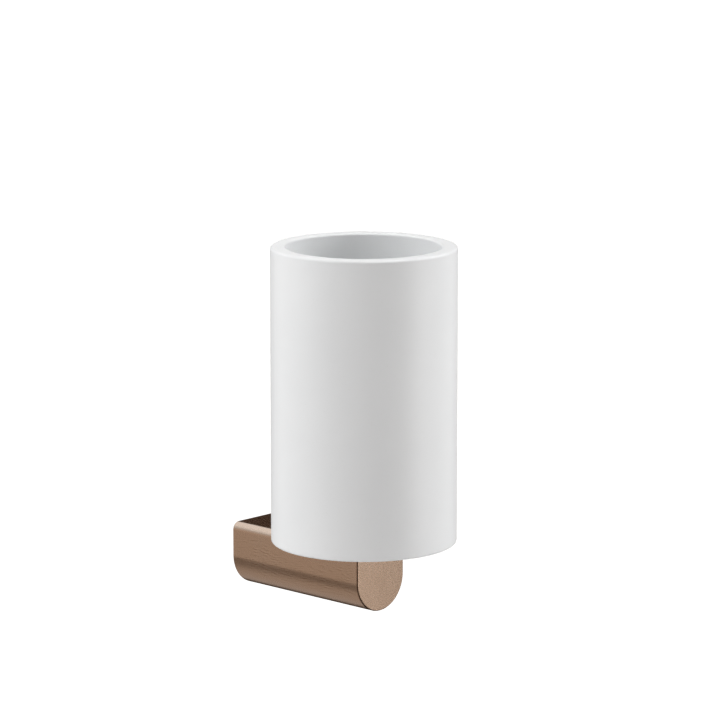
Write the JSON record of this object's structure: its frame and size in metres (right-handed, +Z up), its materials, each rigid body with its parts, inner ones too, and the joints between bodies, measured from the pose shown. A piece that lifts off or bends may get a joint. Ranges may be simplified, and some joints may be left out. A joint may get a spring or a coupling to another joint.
{
  "type": "wall-mounted toothbrush tumbler holder",
  "caption": "Round thick-walled toothbrush cup that lifts off a spigot on a short brushed U-section wall arm with a hidden bracket.",
  "frame": {"origin": "the wall plane, at the middle of the hidden bracket's rear face and at mid height of the arm", "axes": "+Y into the wall, so the arm runs out along -Y; +Z up along the cup's axis; +X across the arm"},
  "size_m": [0.07, 0.0929, 0.1384],
  "materials": {
    "cup_ceramic": "matt white, very fine grain",
    "socket_nylon": "moulded nylon",
    "seat_silicone": "matt translucent silicone",
    "brushed_bronze": "brushed lengthwise, bronze tone",
    "spigot_steel": "turned",
    "nitrile_rubber": "smooth black rubber",
    "screw_steel": "bright stainless",
    "plated_bracket": "zinc plated, milled",
    "black_steel": "blackened",
    "bonding_foam": "dark closed-cell foam"
  },
  "bodies": {
    "holder": {"holder_arm": "brushed_bronze", "locating_spigot": "spigot_steel", "spigot_o_ring": "nitrile_rubber", "spigot_washer": "screw_steel", "spigot_screw": "screw_steel", "wall_bracket": "plated_bracket", "bonding_pad": "bonding_foam", "set_screw": "black_steel"},
    "seat": {"seat_ring": "seat_silicone"},
    "tumbler": {"cup": "cup_ceramic", "cup_socket": "socket_nylon"}
  },
  "joints": [
    {"name": "cup_turn", "type": "hinge", "parent": "holder", "child": "seat", "pos_m": [0, -0.0579, 0.0131], "axis": [0, 0, 1], "continuous": true},
    {"name": "cup_lift", "type": "slide", "parent": "seat", "child": "tumbler", "axis": [0, 0, 1], "range_m": [0, 0.04]}
  ]
}
